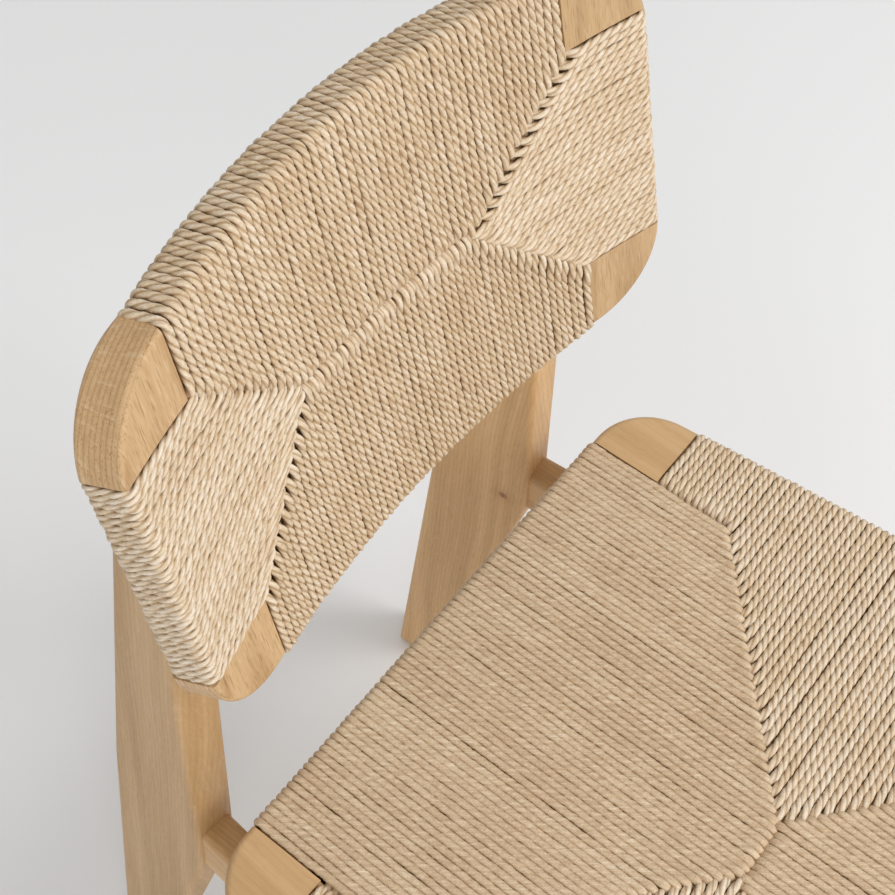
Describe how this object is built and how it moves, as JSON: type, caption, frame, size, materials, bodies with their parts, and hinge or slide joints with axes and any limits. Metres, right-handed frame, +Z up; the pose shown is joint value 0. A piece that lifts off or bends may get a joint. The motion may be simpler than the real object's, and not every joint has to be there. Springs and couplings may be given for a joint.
{
  "type": "paper cord chair",
  "caption": "Oak dining chair with bent rear legs, a raised seat and a curved backrest, both woven in twisted paper cord with mitred seams.",
  "frame": {"origin": "on the floor, under the middle of the chair's box", "axes": "+Z up, the sitter faces -Y, +X to the sitter's left"},
  "size_m": [0.462, 0.557, 0.8077],
  "materials": {
    "oak": "waxed, satin",
    "dowel": "bare beech",
    "paper_cord": "twisted paper, matte",
    "steel": "zinc plated",
    "nylon": "moulded"
  },
  "bodies": {
    "root": {"seat_left_rail": "oak", "seat_right_rail": "oak", "seat_back_rail": "oak", "seat_front_rail": "oak", "back_left_post": "oak", "back_right_post": "oak", "back_top_rail": "oak", "back_bottom_rail": "oak", "rear_leg_left": "oak", "rear_leg_right": "oak", "front_leg_left": "oak", "front_leg_right": "oak", "side_rail_left": "oak", "side_rail_right": "oak", "rear_cross_rail": "oak", "front_cross_rail": "oak", "back_plugs": "oak", "side_frame_dowels": "dowel", "front_leg_dowels": "dowel", "cross_rail_dowels": "dowel", "seat_frame_dowels": "dowel", "seat_cord_back": "paper_cord", "seat_cord_front": "paper_cord", "seat_cord_left": "paper_cord", "seat_cord_right": "paper_cord", "back_cord_top": "paper_cord", "back_cord_bottom": "paper_cord", "back_cord_left": "paper_cord", "back_cord_right": "paper_cord", "back_screws": "steel", "seat_screws": "steel", "back_spacers": "nylon", "foot_glides": "nylon"}
  },
  "joints": []
}
